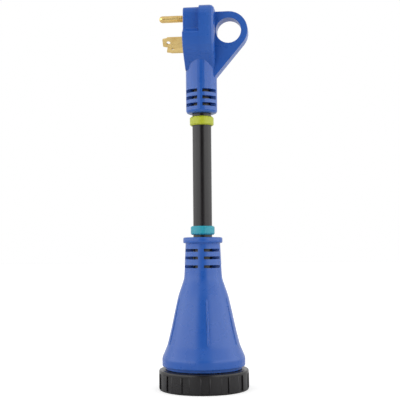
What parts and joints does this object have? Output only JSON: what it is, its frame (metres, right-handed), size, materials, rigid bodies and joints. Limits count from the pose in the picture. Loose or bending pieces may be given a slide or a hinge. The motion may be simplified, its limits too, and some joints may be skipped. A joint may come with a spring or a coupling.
{
  "type": "dogbone power adapter",
  "caption": "Short heavy-cord adapter from a right-angle caravan plug with a finger handle to a flared locking connector with a threaded collar ring.",
  "frame": {"origin": "centre of the connector's socket face, on the axis of the collar ring and the cord", "axes": "+Z along the cord from the connector up to the plug; the plug's prongs point along -X and its handle along +X; +Y completes the frame"},
  "size_m": [0.0845, 0.082, 0.3504],
  "materials": {
    "blue_pvc": "satin moulded PVC",
    "black_nylon": "satin moulded nylon",
    "black_rubber": "smooth satin cord jacket",
    "grey_rubber": "matt",
    "brass": "polished, lightly brushed",
    "copper": "bare stranded copper",
    "steel": "zinc plated",
    "yellow_green": "satin",
    "turquoise": "satin",
    "white_insulation": "satin",
    "green_insulation": "satin",
    "black_insulation": "satin"
  },
  "bodies": {
    "adapter": {"plug_housing": "blue_pvc", "blade_carrier": "black_nylon", "ground_pin": "brass", "hot_blade": "brass", "neutral_blade": "brass", "yellow_band": "yellow_green", "cord_jacket": "black_rubber", "hot_wire": "black_insulation", "neutral_wire": "white_insulation", "ground_wire": "green_insulation", "hot_conductor": "copper", "neutral_conductor": "copper", "ground_conductor": "copper", "line_jumper": "copper", "turquoise_band": "turquoise", "connector_housing": "blue_pvc", "contact_retainer": "black_nylon", "retainer_screw_1": "steel", "retainer_screw_2": "steel", "socket_face": "black_nylon", "socket_insert": "black_nylon", "line_1_contact": "brass", "line_2_contact": "brass", "neutral_contact": "brass", "ground_contact": "brass", "sealing_gasket": "grey_rubber"},
    "collar": {"collar_ring": "black_nylon"}
  },
  "joints": [
    {"name": "collar_spin", "type": "hinge", "parent": "adapter", "child": "collar", "pos_m": [0, 0, 0.007], "axis": [0, 0, 1], "continuous": true}
  ]
}
